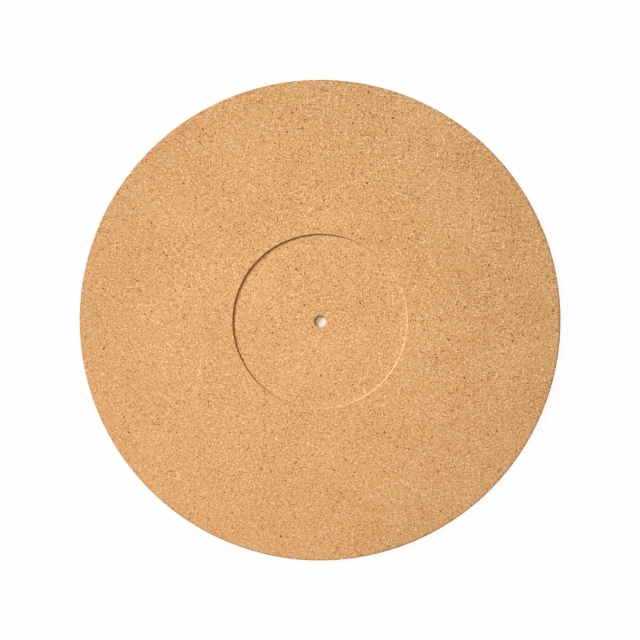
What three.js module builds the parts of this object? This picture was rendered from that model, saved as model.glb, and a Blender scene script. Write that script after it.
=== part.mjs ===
// Turntable platter mat: one flat disc of fine agglomerated cork. A shallow recess in the
// upper face takes the raised label of a record, and a hole in the middle fits over the spindle.
// Millimetres, +Z up. The origin is on the spindle's axis, in the face that lies on the platter.
import * as THREE from "three";

// The disc, cut from flat cork sheet
const matDiameter = 300;
const matThickness = 3;

// The recess, milled down from the upper face around a record's label
const labelDiameter = 100;
const labelClearance = 4.4; // between the label's edge and the recess wall
const recessDepth = 1.1;

// The hole that centres the mat on the spindle
const spindleDiameter = 7.1;
const spindleClearance = 0.1; // between the spindle and the hole's wall

// Cork crumbles at a sharp edge, so every edge is slightly rounded
const rimTopRound = 0.5;
const rimBottomRound = 0.3;
const recessLipRound = 0.3;
const recessFootRound = 0.4; // left in the corner by the milling cutter's worn tip
const holeTopRound = 0.25;
const holeBottomRound = 0.25;

const roundSteps = 3; // straight steps in each rounded edge
const stepsAround = 180;

const rimRadius = matDiameter / 2;
const recessRadius = labelDiameter / 2 + labelClearance;
const holeRadius = spindleDiameter / 2 + spindleClearance;
const floorHeight = matThickness - recessDepth; // of the recess, and so the thickness left there

// Two rounds on one wall leave at least a fifth of that wall straight between them.
const straightShare = 0.2;
function fitOnWall(round, otherRound, wall) {
  return round * Math.min(1, ((1 - straightShare) * wall) / (round + otherRound));
}

// The points of a quarter circle about (radius, height), from one angle to the other in degrees.
function quarterRound(radius, height, size, fromAngle, toAngle) {
  return Array.from({ length: roundSteps + 1 }, (_, step) => {
    const angle = THREE.MathUtils.degToRad(fromAngle + ((toAngle - fromAngle) * step) / roundSteps);
    return new THREE.Vector2(radius + size * Math.cos(angle), height + size * Math.sin(angle));
  });
}

// Half of the mat's section, as (distance from the axis, height). It runs once around the
// material: out along the underside, up the rim, in over the upper face, down into the recess,
// in along its floor, and down the hole's wall to where it started.
function matSection() {
  const rimTop = fitOnWall(rimTopRound, rimBottomRound, matThickness);
  const rimBottom = fitOnWall(rimBottomRound, rimTopRound, matThickness);
  const lip = fitOnWall(recessLipRound, recessFootRound, recessDepth);
  const foot = fitOnWall(recessFootRound, recessLipRound, recessDepth);
  const holeTop = fitOnWall(holeTopRound, holeBottomRound, floorHeight);
  const holeBottom = fitOnWall(holeBottomRound, holeTopRound, floorHeight);

  const section = [
    ...quarterRound(rimRadius - rimBottom, rimBottom, rimBottom, -90, 0),
    ...quarterRound(rimRadius - rimTop, matThickness - rimTop, rimTop, 0, 90),
    ...quarterRound(recessRadius + lip, matThickness - lip, lip, 90, 180),
    ...quarterRound(recessRadius - foot, floorHeight + foot, foot, 0, -90),
    ...quarterRound(holeRadius + holeTop, floorHeight - holeTop, holeTop, 90, 180),
    ...quarterRound(holeRadius + holeBottom, holeBottom, holeBottom, 180, 270),
  ];
  return [...section, section[0].clone()];
}

// The section is turned about Y, and the disc is then laid down with its axis along +Z.
function platterMat() {
  const disc = new THREE.LatheGeometry(matSection(), stepsAround);
  disc.rotateX(Math.PI / 2);
  const cork = new THREE.MeshStandardMaterial({
    name: "cork",
    color: new THREE.Color("#dca771"),
    roughness: 0.9,
    metalness: 0,
  });
  const mesh = new THREE.Mesh(disc, cork);
  mesh.name = "platter_mat";
  return mesh;
}

const turntableMat = new THREE.Group();
turntableMat.name = "turntable_mat";
turntableMat.add(platterMat());

export default turntableMat;
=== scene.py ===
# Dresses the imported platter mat: a disc of agglomerated cork seen from above in a plain studio.
import math
import bpy
import numpy as np
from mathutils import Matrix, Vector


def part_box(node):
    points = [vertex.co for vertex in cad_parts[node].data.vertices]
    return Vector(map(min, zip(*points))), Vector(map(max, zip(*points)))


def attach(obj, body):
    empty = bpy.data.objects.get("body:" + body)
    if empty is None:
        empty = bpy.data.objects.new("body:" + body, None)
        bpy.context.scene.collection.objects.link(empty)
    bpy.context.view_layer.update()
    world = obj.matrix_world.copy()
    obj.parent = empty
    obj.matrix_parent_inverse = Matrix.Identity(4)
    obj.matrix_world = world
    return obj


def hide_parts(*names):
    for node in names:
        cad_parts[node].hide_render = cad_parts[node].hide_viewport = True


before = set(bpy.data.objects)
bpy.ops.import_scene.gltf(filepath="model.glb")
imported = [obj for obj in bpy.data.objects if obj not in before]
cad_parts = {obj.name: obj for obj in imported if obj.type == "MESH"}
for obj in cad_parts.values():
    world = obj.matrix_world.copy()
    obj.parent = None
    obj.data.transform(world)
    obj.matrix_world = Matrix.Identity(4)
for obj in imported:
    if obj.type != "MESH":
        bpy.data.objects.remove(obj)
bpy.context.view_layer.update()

mm = 0.001


# One output of a shader node. Sums on wires add Math nodes, and node() adds any other node.
class Wire:
    def __init__(self, tree, socket=None):
        self.tree, self.socket = tree, socket

    # settings are set before the sockets are filled with plain values or with other wires
    def node(self, kind, settings, values, output=None):
        made = self.tree.nodes.new("ShaderNode" + kind)
        for name, value in settings.items():
            if name == "stops":
                ramp = made.color_ramp.elements
                while len(ramp) < len(value):
                    ramp.new(1)
                for stop, (place, colour) in zip(ramp, value):
                    stop.position, stop.color = place, colour
            else:
                setattr(made, name, value)
        for name, value in values.items():
            socket = next(s for s in made.inputs if s.enabled and name in (s.identifier, s.name))
            if isinstance(value, Wire):
                self.tree.links.new(value.socket, socket)
            else:
                socket.default_value = value
        shown = [s for s in made.outputs if s.enabled and output in (None, s.name)]
        return Wire(self.tree, shown[0] if shown else None)

    def maths(self, operation, first, second):
        return self.node("Math", {"operation": operation}, {"Value": first, "Value_001": second})

    def __add__(self, other):
        return self.maths("ADD", self, other)

    def __radd__(self, other):
        return self.maths("ADD", other, self)

    def __sub__(self, other):
        return self.maths("SUBTRACT", self, other)

    def __rsub__(self, other):
        return self.maths("SUBTRACT", other, self)

    def __mul__(self, other):
        return self.maths("MULTIPLY", self, other)

    def __rmul__(self, other):
        return self.maths("MULTIPLY", other, self)

    # 0 below low, 1 above high, with a soft S between them
    def soft(self, low, high):
        return self.node("MapRange", {"interpolation_type": "SMOOTHSTEP"},
                         {"Value": self, "From Min": low, "From Max": high}, "Result")


# a screen colour, three parts from 0 to 255, as the linear red, green, blue and alpha of a socket
def paint(parts):
    screen = np.array(parts) / 255
    linear = np.where(screen <= 0.04045, screen / 12.92, ((screen + 0.055) / 1.055) ** 2.4)
    return (*linear.tolist(), 1.0)


# Shape of the mat, in millimetres
low, high = (np.array(corner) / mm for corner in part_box("platter_mat"))
matShape = {
    "rimRadius": (high[0] - low[0]) / 2,
    "thickness": high[2] - low[2],
    "recessRadius": 54.4,
    "recessDepth": 1.1,
    "holeRadius": 3.65,
    "rimTopRound": 0.5,
    "rimBottomRound": 0.3,
    "lipRound": 0.3,
    "footRound": 0.4,
    "holeTopRound": 0.25,
    "holeBottomRound": 0.25,
    "roundSteps": 4,
    "smallRoundSteps": 3,
    "aroundRim": 960,  # steps around the rim and the lip; other zones have a half, a quarter or an eighth
    "outerSpacing": 1.4,  # between rings of points on the playing face
    "innerSpacing": 1.3,
    "floorSpacing": 1.25,
    "outerZone": 104.0,  # radii at which the number of steps around changes
    "innerZone": 58.0,
    "floorZone": 27.0,
    "middleZone": 12.0,
    "guard": 0.35,  # a ring this near an edge's round keeps the flat face flat up to it
    "rimMargin": 1.5,  # from an edge's round to the first ring whose points wander
    "lipMargin": 1.6,
    "footMargin": 1.4,
    "holeMargin": 0.8,
    "underMargin": 4.0,
    "underRings": ((8, 14, 3), (18, 34, 4), (42, 140, 13)),  # first and last radius, and how many
    "jitter": 0.28,  # of the spacing, so that no lattice shows
    "underJitter": 0.3,  # how much of that the underside has
    "granule": 0.9,
    "chipDepth": 0.24,  # where a granule has broken away from an edge
    "chipShare": 0.22,
    "rimCrumble": 1.0,  # how much of the chips each edge has
    "lipCrumble": 0.6,
    "footCrumble": 0.4,
    "holeCrumble": 0.4,
    "holeBottomCrumble": 0.5,
    "guardCrumble": 0.3,
    "edgeFuzz": 0.05,
    "grainRelief": 0.03,
    "sheetWave": 0.03,
    "waveLengths": (9, 13, 21, 34, 60),
    "pitShare": 0.011,
    "pitDepth": 0.2,
    "pitLeast": 0.35,  # of the depth, for the shallowest pit
    "seed": 41,
}


# Scatters one random number per corner of a lattice: whole numbers are multiplied by large primes,
# joined by exclusive or, and stirred by two more multiplications and shifts.
def scatter(cells, seed):
    mixed = np.full(cells.shape[:-1], seed, np.uint32)
    for axis, prime in enumerate((73856093, 19349663, 83492791)):
        mixed ^= (cells[..., axis].astype(np.int64) * prime).astype(np.uint32)
    for prime in (2246822519, 3266489917):
        mixed = (mixed ^ (mixed >> np.uint32(15))) * np.uint32(prime)
    return (mixed ^ (mixed >> np.uint32(13))).astype(np.float64) / 2 ** 32


# Granules: each unit cell holds one randomly placed centre, and a point belongs to the nearest centre.
# Gives the distance to that centre in cell sizes and the granule's own random number.
def granules(points, size, seed):
    place = points / size
    home = np.floor(place)
    nearest = np.full(len(points), 9.0)  # farther than any centre can be
    number = np.zeros(len(points))
    for offset in np.ndindex(3, 3, 3):
        cell = home + np.array(offset) - 1
        centre = cell + np.stack([scatter(cell, seed + k) for k in range(3)], -1)
        distance = np.linalg.norm(place - centre, axis=1)
        closer = distance < nearest
        nearest = np.where(closer, distance, nearest)
        number = np.where(closer, scatter(cell, seed + 7), number)
    return nearest, number


# A quarter circle about (radius, height), from one angle to the other in degrees:
# centre + size * (cosine, sine).
def quarter(radius, height, size, fromAngle, toAngle, steps):
    angle = np.radians(np.linspace(fromAngle, toAngle, steps + 1))
    return radius + size * np.cos(angle), height + size * np.sin(angle)


# Half of the section, walked once round the material: out along the underside, up the rim, in over
# the playing face, down the lip, in along the recess floor and down the hole. Each ring has a radius,
# a height, a number of points around, how much its edge crumbles and how far its points may wander.
def sectionRings(s):
    rings = []

    # a profile is radii and heights, with one number where they are all alike
    def add(profile, around, crumble, wander):
        radii, heights = np.broadcast_arrays(*map(np.atleast_1d, profile))
        rings.extend((r, h, around, crumble, wander) for r, h in zip(radii, heights))

    # radii from the outer one to just before the inner one, about a spacing apart
    def across(outer, inner, spacing):
        count = max(1, round(abs(outer - inner) / spacing))
        return np.linspace(outer, inner, count + 1)[:-1]

    full = s["aroundRim"]
    half, fourth, eighth = full // 2, full // 4, full // 8
    rim, top, guard = s["rimRadius"], s["thickness"], s["guard"]
    lip, floor, hole = s["recessRadius"], top - s["recessDepth"], s["holeRadius"]
    few, steps = s["smallRoundSteps"], s["roundSteps"]
    rimTop, rimBottom, lipRound, footRound = (
        s[name] for name in ("rimTopRound", "rimBottomRound", "lipRound", "footRound"))
    holeTop, holeBottom = s["holeTopRound"], s["holeBottomRound"]

    # underside: a plain sheet, so its rings are far apart
    add((hole + holeBottom + guard, 0), eighth, 0, 0)
    for radii, around in zip(s["underRings"], (eighth, fourth, half)):
        add((np.linspace(*radii), 0), around, 0, s["underJitter"])
    add(((rim - rimBottom - s["underMargin"], rim - rimBottom - guard), 0), full, 0, 0)
    # rim
    add(quarter(rim - rimBottom, rimBottom, rimBottom, -90, 0, few), full, s["rimCrumble"], 0)
    add((rim, np.linspace(rimBottom, top - rimTop, 4)[1:-1]), full, s["rimCrumble"], 0)
    add(quarter(rim - rimTop, top - rimTop, rimTop, 0, 90, steps), full, s["rimCrumble"], 0)
    # playing face
    add((rim - rimTop - guard, top), full, s["guardCrumble"], 0)
    add((across(rim - rimTop - s["rimMargin"], s["outerZone"], s["outerSpacing"]), top), full, 0, 1)
    add((across(s["outerZone"], s["innerZone"], s["innerSpacing"]), top), half, 0, 1)
    add((lip + lipRound + s["lipMargin"], top), full, 0, 0.5)
    add((lip + lipRound + guard, top), full, s["guardCrumble"], 0)
    # lip, wall and foot of the recess
    add(quarter(lip + lipRound, top - lipRound, lipRound, 90, 180, steps), full, s["lipCrumble"], 0)
    add(quarter(lip - footRound, floor + footRound, footRound, 0, -90, steps), full, s["footCrumble"], 0)
    # recess floor
    add((lip - footRound - guard, floor), full, 0, 0)
    add((across(lip - footRound - s["footMargin"], s["floorZone"], s["floorSpacing"]), floor), half, 0, 1)
    add((across(s["floorZone"], s["middleZone"], s["floorSpacing"]), floor), fourth, 0, 1)
    add((across(s["middleZone"], hole + holeTop + s["holeMargin"], 1), floor), eighth, 0, 1)
    add((hole + holeTop + guard, floor), eighth, 0, 0)
    # hole
    add(quarter(hole + holeTop, floor - holeTop, holeTop, 90, 180, few), eighth, s["holeCrumble"], 0)
    add((hole, np.linspace(floor - holeTop, holeBottom, 5)[1:-1]), eighth, s["holeCrumble"], 0)
    add(quarter(hole + holeBottom, holeBottom, holeBottom, 180, 270, few), eighth, s["holeBottomCrumble"], 0)
    return np.array(rings, dtype=float)


# Triangles between two neighbouring rings. With as many points, each square is cut along its shorter
# diagonal; where one ring has twice the points of the other, three triangles share each wide step.
def strip(points, startA, countA, startB, countB):
    small = np.arange(min(countA, countB))
    nextSmall = (small + 1) % len(small)
    if countA == countB:
        a, aNext, b, bNext = startA + small, startA + nextSmall, startB + small, startB + nextSmall
        lengths = [np.linalg.norm(points[p] - points[q], axis=1) for p, q in ((a, bNext), (aNext, b))]
        along = (lengths[0] < lengths[1])[:, None]
        one = np.where(along, np.stack([a, aNext, bNext], 1), np.stack([a, aNext, b], 1))
        two = np.where(along, np.stack([a, bNext, b], 1), np.stack([aNext, bNext, b], 1))
        return np.concatenate([one, two])
    even, odd, after = 2 * small, 2 * small + 1, (2 * small + 2) % (2 * len(small))
    if countA > countB:
        even, odd, after = startA + even, startA + odd, startA + after
        b, bNext = startB + small, startB + nextSmall
        sides = (even, odd, b), (odd, bNext, b), (odd, after, bNext)
    else:
        even, odd, after = startB + even, startB + odd, startB + after
        a, aNext = startA + small, startA + nextSmall
        sides = (a, odd, even), (a, aNext, odd), (aNext, after, odd)
    return np.concatenate([np.stack(side, 1) for side in sides])


# The mat's surface: every ring of the section is turned about Z, then
#   open faces:  height goes down by a slow wave + a random share of the grain relief + any pit
#   edges:       points go in along the section's normal by a little fuzz + the chip of a missing granule
# The marks say where the cork is pitted, where the rim has painted shade, and where the lip and the
# foot of a wall have painted shade and painted sheen.
def corkDisc(s):
    rng = np.random.default_rng(s["seed"])
    rings = sectionRings(s)
    radius, height, around, crumble, wander = rings.T
    around = around.astype(int)
    before, after = np.roll(rings, 1, 0), np.roll(rings, -1, 0)
    walk = after[:, :2] - before[:, :2]
    normal = np.stack([walk[:, 1], -walk[:, 0]], 1) / np.linalg.norm(walk, axis=1)[:, None]
    start = np.concatenate([[0], np.cumsum(around)[:-1]])
    ring = np.repeat(np.arange(len(rings)), around)
    step = np.arange(around.sum()) - start[ring]

    gap = np.minimum(abs(radius - before[:, 0]), abs(after[:, 0] - radius))
    wobble = rng.uniform(-1, 1, (len(ring), 2)) * s["jitter"] * wander[ring][:, None]
    turn = 2 * math.pi * (step + wobble[:, 0]) / around[ring]
    r = radius[ring] + wobble[:, 1] * gap[ring]
    h = height[ring].copy()

    flat = np.stack([r * np.cos(turn), r * np.sin(turn), h], 1)
    near, number = granules(flat, s["granule"], s["seed"])
    broken = np.clip((number - 1 + s["chipShare"]) / s["chipShare"], 0, 1)
    chip = s["chipDepth"] * broken * np.clip(1.5 - 1.6 * near, 0, 1)  # full in the granule's middle
    push = -(chip + s["edgeFuzz"] * rng.uniform(0, 1, len(ring))) * crumble[ring]
    r += push * normal[ring, 0]
    h += push * normal[ring, 1]

    openUp = (wander[ring] > 0) & (height[ring] > 0)
    openDown = (wander[ring] > 0) & (height[ring] == 0)
    wave = np.zeros(len(ring))
    for length in s["waveLengths"]:
        heading, phase = rng.uniform(0, 2 * math.pi, 2)
        along = flat[:, 0] * math.cos(heading) + flat[:, 1] * math.sin(heading)
        wave += np.cos(along * 2 * math.pi / length + phase)
    wave = s["sheetWave"] * (wave / len(s["waveLengths"]) + 1) / 2
    grain = s["grainRelief"] * rng.uniform(0, 1, len(ring))
    pitted = rng.uniform(0, 1, len(ring)) < s["pitShare"]
    pit = np.where(pitted, rng.uniform(s["pitLeast"], 1, len(ring)), 0) * openUp
    h -= np.where(openUp, wave + grain + s["pitDepth"] * pit, 0)
    h += np.where(openDown, grain, 0)

    points = np.stack([r * np.cos(turn), r * np.sin(turn), h], 1)
    follows = np.roll(np.arange(len(rings)), -1)
    faces = np.concatenate([
        strip(points, start[i], around[i], start[k], around[k]) for i, k in enumerate(follows)])

    # the rim's mark carries painted shade along the rim
    rim = (radius > s["rimRadius"] - 1) * crumble  # its guard ring stands less than 1 mm in from it
    # the walls of the recess and the hole, whose lip gets painted shade and whose foot gets painted sheen
    cut = (crumble > s["guardCrumble"]) & (rim == 0)
    lip = cut & (height > s["thickness"] - s["recessDepth"] / 2)
    marks = {"pit": pit, "edge": rim[ring], "lip": lip[ring] * 1.0, "foot": (cut & ~lip)[ring] * 1.0}
    return points, faces, marks


# A mesh of triangles with a number for every point under each mark's name
def makeMesh(name, points, faces, marks):
    mesh = bpy.data.meshes.new(name)
    mesh.vertices.add(len(points))
    mesh.vertices.foreach_set("co", (points * mm).ravel())
    mesh.loops.add(faces.size)
    mesh.loops.foreach_set("vertex_index", faces.ravel())
    mesh.polygons.add(len(faces))
    mesh.polygons.foreach_set("loop_start", np.arange(0, faces.size, 3))
    mesh.polygons.foreach_set("use_smooth", np.ones(len(faces), bool))
    for mark, values in marks.items():
        mesh.attributes.new(mark, "FLOAT", "POINT").data.foreach_set("value", values)
    mesh.update(calc_edges=True)
    mesh.validate()
    made = bpy.data.objects.new(name, mesh)
    bpy.context.scene.collection.objects.link(made)
    return made


points, faces, marks = corkDisc(matShape)
mat = makeMesh("cork_mat", points, faces, marks)
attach(mat, "root")
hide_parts("platter_mat")
print("mat made,", len(points), "points and", len(faces), "triangles")


# Cork
corkLook = {
    "bend": 0.4,  # mm, how far the granules' outlines are bent
    "bendScale": 2.2,  # bends to a mm
    "granule": 0.48,  # mm across
    "crumb": 0.3,
    "chunk": 1.9,
    "fibre": 1.0,
    "cloud": 42.0,
    "speckSpacing": 1.2,  # mm, of the cells that may hold a dark speck of bark
    "speckShare": 0.09,
    "speckReach": (0.25, 0.4),  # of the spacing, from full to nothing
    "barkSpacing": 5.0,  # of the cells that may hold a bigger piece of bark
    "barkShare": 0.11,
    "barkReach": (0.08, 0.14),
    "fleckSpacing": 1.0,  # of the cells that may hold a pale fleck
    "fleckShare": 0.165,
    "fleckReach": (0.3, 0.45),
    "seamWidth": 0.09,  # of a granule
    "pitReach": (0.3, 0.75),  # of the pit mark, from bare to full
    "shades": ((0.00, (114, 40, 0)), (0.16, (150, 78, 2)), (0.36, (199, 137, 73)), (0.50, (224, 172, 116)),
               (0.66, (239, 191, 137)), (0.90, (252, 221, 174))),  # screen colours from bark to pale cork
    "middleTone": 0.493,  # place of plain cork among the shades
    "contrast": 0.945,
    "granuleTone": 0.355,
    "crumbTone": 0.20,
    "chunkTone": 0.04,
    "fibreTone": 0.40,
    "cloudTone": 0.10,
    "seamTone": 0.05,
    "speckTone": 0.42,
    "barkTone": 0.8,
    "fleckTone": 0.46,
    "pitTone": 0.35,
    # painted shade along the rim: this tone makes it darker and the tint below greyer, as if its rounded edge
    # were in shade
    "rimShadeTone": 0.09,
    "rimShadeTint": (0.90, 0.98, 1.14),  # painted shade: makes the rim greyer
    "lipShadeTint": (0.97, 0.95, 0.84),  # painted shade: the upper half of the recess wall is warmer and darker, deepening its shadow
    "footSheenTint": (0.86, 0.96, 1.12),  # painted sheen: its lower half and the hole's wall are paler and bluer, so a lit wall looks creamy
    "paintedLightBearing": 45.0,  # degrees from +X towards +Y; painted light: that way the grain gets stronger and yellower, as under a more grazing, yellower light
    "paintedLightContrast": 0.16,
    "paintedLightTint": (0.977, 1.03, 1.028),
    "paintedLightReach": (0.2, 1.3),  # rim radii out from the middle, from plain to fully tinted
    "roughness": 0.9,
    "shine": 0.25,
    "granuleHeight": 0.010,  # mm
    "crumbHeight": 0.005,
    "seamDepth": 0.010,
    "speckDepth": 0.04,
}


# Shade of the cork = its middle tone + contrast * (random numbers of granule, crumb and chunk, soft
# fibres and clouds, and flecks, - seams, specks, bark, pits and painted shade along the rim). The shade
# picks a colour from bark to pale cork. The rim's painted shade, the lip's painted shade, the foot's
# painted sheen, also on the hole's wall, and the painted light towards one side each multiply it by
# their tint, and that painted light also raises the contrast.
def corkMaterial(look, rimRadius):
    material = bpy.data.materials.new("cork")
    material.use_nodes = True
    material.node_tree.nodes.clear()
    bench = Wire(material.node_tree)

    place = bench.node("VectorMath", {"operation": "SCALE"},
                       {"Vector": bench.node("TexCoord", {}, {}, "Object"), "Scale": 1 / mm})
    bend = bench.node("TexNoise", {}, {"Vector": place, "Scale": look["bendScale"], "Detail": 2.0}, "Color")
    bend = bench.node("VectorMath", {"operation": "MULTIPLY_ADD"}, {
        "Vector": bend, "Vector_001": (look["bend"],) * 3, "Vector_002": (-look["bend"] / 2,) * 3})
    place = bench.node("VectorMath", {"operation": "ADD"}, {"Vector": place, "Vector_001": bend})

    # up to three random numbers for every cell of that size
    def cellNumbers(size, *channels):
        seen = bench.node("TexVoronoi", {}, {"Vector": place, "Scale": 1 / size}, "Color")
        return [bench.node("SeparateColor", {}, {"Color": seen}, channel) for channel in channels]

    # 1 in the middle of the few cells whose number falls under the share, 0 elsewhere
    def spots(name):
        spacing, share = look[name + "Spacing"], look[name + "Share"]
        [number] = cellNumbers(spacing, "Red")
        distance = bench.node("TexVoronoi", {}, {"Vector": place, "Scale": 1 / spacing}, "Distance")
        return (1 - distance.soft(*look[name + "Reach"])) * (1 - number.soft(share - 0.01, share))

    # a soft pattern from 0 to 1 with blots of that size
    def noise(size, detail):
        return bench.node("TexNoise", {}, {"Vector": place, "Scale": 1 / size, "Detail": detail}, "Fac")

    # a number that the mesh carries
    def mark(name):
        return bench.node("Attribute", {"attribute_name": name}, {}, "Fac")

    tone, height, kind = cellNumbers(look["granule"], "Red", "Green", "Blue")
    crumbTone, crumbHeight, crumbKind = cellNumbers(look["crumb"], "Red", "Green", "Blue")
    [chunkTone] = cellNumbers(look["chunk"], "Red")
    seam = 1 - bench.node("TexVoronoi", {"feature": "DISTANCE_TO_EDGE"}, {
        "Vector": place, "Scale": 1 / look["granule"]}, "Distance").soft(0.0, look["seamWidth"])
    speck, bark, fleck = spots("speck"), spots("bark"), spots("fleck")
    fibre, cloud = noise(look["fibre"], 0.0), noise(look["cloud"], 1.0)
    pit, edge = mark("pit").soft(*look["pitReach"]), mark("edge")

    # -1 to 1 from rim to rim along the painted light's bearing
    bearing = math.radians(look["paintedLightBearing"])
    heading = (math.cos(bearing) / rimRadius, math.sin(bearing) / rimRadius, 0)
    paintedLight = bench.node("VectorMath", {"operation": "DOT_PRODUCT"},
                       {"Vector": place, "Vector_001": heading}, "Value")

    grain = ((tone + kind - 1.0) * (look["granuleTone"] / 2)
             + (crumbTone + crumbKind - 1.0) * (look["crumbTone"] / 2)
             + (chunkTone - 0.5) * look["chunkTone"]
             + (fibre - 0.5) * look["fibreTone"]
             + (cloud - 0.5) * look["cloudTone"]
             + fleck * look["fleckTone"]
             - seam * look["seamTone"]
             - speck * look["speckTone"]
             - bark * look["barkTone"]
             - pit * look["pitTone"]
             - edge * look["rimShadeTone"])
    # painted light: the grain's contrast grows towards one side
    shade = look["middleTone"] + grain * (look["contrast"] + paintedLight * look["paintedLightContrast"])
    stops = [(spot, paint(colour)) for spot, colour in look["shades"]]
    colour = bench.node("ValToRGB", {"stops": stops}, {"Fac": shade}, "Color")
    # tints of painted shade on the rim and the lip, painted sheen on the foot, and painted light towards one
    # side
    for amount, tint in ((edge, "rimShadeTint"), (mark("lip"), "lipShadeTint"), (mark("foot"), "footSheenTint"),
                         (paintedLight.soft(*look["paintedLightReach"]), "paintedLightTint")):
        colour = bench.node("Mix", {"data_type": "RGBA", "blend_type": "MULTIPLY"},
                            {"Factor": amount, "A": colour, "B": (*look[tint], 1)}, "Result")

    relief = (height * look["granuleHeight"] + crumbHeight * look["crumbHeight"]
              - seam * look["seamDepth"] - speck * look["speckDepth"])
    normal = bench.node("Bump", {}, {"Strength": 1.0, "Distance": mm, "Height": relief}, "Normal")
    shader = bench.node("BsdfPrincipled", {}, {
        "Base Color": colour, "Roughness": look["roughness"], "Specular IOR Level": look["shine"],
        "Normal": normal}, "BSDF")
    bench.node("OutputMaterial", {}, {"Surface": shader})
    return material


mat.data.materials.append(corkMaterial(corkLook, matShape["rimRadius"]))
print("cork material made")


# Studio
studio = {
    "cameraDistance": 1.0,  # m, from the middle of the mat
    "cameraLean": 2.2,  # degrees towards +Y
    "sensorWidth": 36.0,  # mm
    "frameWidth": 0.39898,  # m of the mat's top face across the picture
    "aim": (-0.00002, 0.00092, 0.0019),
    "bearing": 149.0,  # of both lamps, in degrees from +X towards +Y
    "keyHeight": 28.4,  # degrees above the floor
    "keyDistance": 4.4,
    "keySize": (0.6, 0.6),  # width and height
    "keySpread": 25.0,
    "keyPower": 4.75,
    "keyAim": (0.097, 0.018, 0.0),
    "keyColour": (0.866, 1.015, 1.18),
    "poolHeight": 49.6,
    "poolDistance": 0.77,
    "poolSize": (0.53, 0.19),
    "poolSpread": 41.5,
    "poolPower": 0.306,
    "poolAim": (-0.017, -0.068, 0.0),
    "poolColour": (0.912, 0.965, 0.905),
    "ambient": 0.175,
    "shadeColour": (1.0, 0.38, 0.05),  # of the light from all round, which fills the shadows
    "paperColour": (0.86, 0.86, 0.86),
    "holePaintedShade": (0.72, 0.66, 0.585),  # painted shade: the floor seen through the spindle hole is darker and creamier than the paper
    "holeReach": (0.008, 0.02),  # from the axis, where that floor turns into the plain one
    "holePaintedGlow": (0.9, 0.62, 0.2),  # painted light: a warm glow that stands in for light that the cork around it sends there
    "holeShare": 0.1,  # how much of that floor's look is this painted glow
    "rimPaintedGlow": (1.0, 0.95, 0.85),  # painted light: the floor next to the rim glows cream, standing in for light from the cork
    "rimReach": (0.1500, 0.1516),  # from the axis, where this glow fades
    "floorShadow": 0.04,  # how much of the floor's look is true light and shade
    "floorSize": 8.0,
}


# The lens is the sensor's width * the distance of the mat's top face / the width seen there.
def makeCamera(s, topFace):
    camera = bpy.data.cameras.new("camera")
    camera.sensor_width = s["sensorWidth"]
    camera.lens = s["sensorWidth"] * (s["cameraDistance"] - (topFace - s["aim"][2])) / s["frameWidth"]
    camera.clip_start, camera.clip_end = 0.01, 50
    eye = bpy.data.objects.new("camera", camera)
    lean = math.radians(s["cameraLean"])
    eye.location = np.array(s["aim"]) + s["cameraDistance"] * np.array([0, math.sin(lean), math.cos(lean)])
    eye.rotation_euler = (-lean, 0, 0)
    bpy.context.scene.collection.objects.link(eye)
    bpy.context.scene.camera = eye


# An oblong lamp that looks down at its aim from that height, in degrees, and distance
def makeLamp(s, name):
    bearing, height = math.radians(s["bearing"]), math.radians(s[name + "Height"])
    light = bpy.data.lights.new(name, "AREA")
    light.color = s[name + "Colour"]
    light.shape = "RECTANGLE"
    light.size, light.size_y = s[name + "Size"]
    light.energy, light.spread = s[name + "Power"], math.radians(s[name + "Spread"])
    made = bpy.data.objects.new(name, light)
    level = math.cos(height)
    towards = np.array([math.cos(bearing) * level, math.sin(bearing) * level, math.sin(height)])
    made.location = s[name + "Aim"] + s[name + "Distance"] * towards
    made.rotation_euler = (math.pi / 2 - height, 0, bearing + math.pi / 2)
    made.visible_camera = False
    bpy.context.scene.collection.objects.link(made)


# 1 on rays from the camera, also reflected or through glass, and 0 on those that only light a surface
def seenDirectly(bench):
    kinds = ("Is Camera Ray", "Is Glossy Ray", "Is Transmission Ray")
    camera, glossy, through = (bench.node("LightPath", {}, {}, kind) for kind in kinds)
    return bench.maths("MAXIMUM", camera, bench.maths("MAXIMUM", glossy, through))


# The light from all round is dim and warm, but the backdrop is seen white.
def makeSky(s):
    world = bpy.data.worlds.new("studio")
    world.use_nodes = True
    world.node_tree.nodes.clear()
    bench = Wire(world.node_tree)
    dim = bench.node("Background", {}, {"Color": (*s["shadeColour"], 1), "Strength": s["ambient"]})
    bright = bench.node("Background", {}, {"Color": (1, 1, 1, 1), "Strength": 1.0})
    sky = bench.node("MixShader", {}, {"Fac": seenDirectly(bench), "Shader": dim, "Shader_001": bright})
    bench.node("OutputWorld", {}, {"Surface": sky})
    bpy.context.scene.world = world


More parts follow.
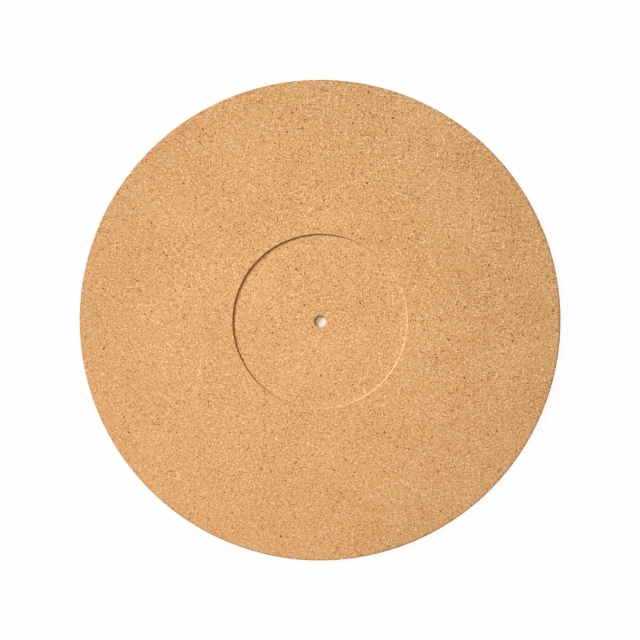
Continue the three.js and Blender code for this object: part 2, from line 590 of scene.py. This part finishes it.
# White paper that keeps a little of its true shade. Under the spindle hole it keeps more of its true shade
# and has painted shade and a painted warm glow, which make it darker and creamier than around the mat; close
# to the rim it has a painted warm glow that stands in for light from the cork.
def paperMaterial(s):
    paper = bpy.data.materials.new("white_floor")
    paper.use_nodes = True
    paper.node_tree.nodes.clear()
    bench = Wire(paper.node_tree)

    # the first colour where the amount is 0, the second where it is 1
    def blend(amount, first, second):
        return bench.node("Mix", {"data_type": "RGBA"}, {"Factor": amount, "A": first, "B": second}, "Result")

    middle = bench.node("VectorMath", {"operation": "LENGTH"},
                        {"Vector": bench.node("TexCoord", {}, {}, "Object")}, "Value")
    around = middle.soft(*s["holeReach"])
    # painted shade: the floor under the spindle hole is darker and creamier than the paper
    tint = blend(around, (*s["holePaintedShade"], 1), (*s["paperColour"], 1))
    matte = bench.node("BsdfDiffuse", {}, {"Color": tint})
    # painted light: near the rim and under the hole the paper glows warm
    fringe = blend(middle.soft(*s["rimReach"]), (*s["rimPaintedGlow"], 1), (1, 1, 1, 1))
    shine = blend(around, (*s["holePaintedGlow"], 1), fringe)
    white = bench.node("Emission", {}, {"Color": shine, "Strength": 1.0})
    glow = seenDirectly(bench) * (s["holeShare"] + around * (1 - s["holeShare"] - s["floorShadow"]))
    mixed = bench.node("MixShader", {}, {"Fac": glow, "Shader": matte, "Shader_001": white})
    bench.node("OutputMaterial", {}, {"Surface": mixed})
    return paper


# A square of paper, each corner half a side from the middle both ways
def makeFloor(s):
    half = s["floorSize"] / 2
    corners = [(-half, -half, 0), (half, -half, 0), (half, half, 0), (-half, half, 0)]
    mesh = bpy.data.meshes.new("floor")
    mesh.from_pydata(corners, [], [(0, 1, 2, 3)])
    mesh.materials.append(paperMaterial(s))
    floor = bpy.data.objects.new("floor", mesh)
    bpy.context.scene.collection.objects.link(floor)


makeCamera(studio, matShape["thickness"] * mm)
makeLamp(studio, "key")  # low and far, so it lights the whole mat and draws the long shadow
makeLamp(studio, "pool")  # high and near, so the mat's middle is a little brighter than its rim
makeSky(studio)
makeFloor(studio)
bpy.context.scene.view_settings.view_transform = "Standard"
print("studio made")
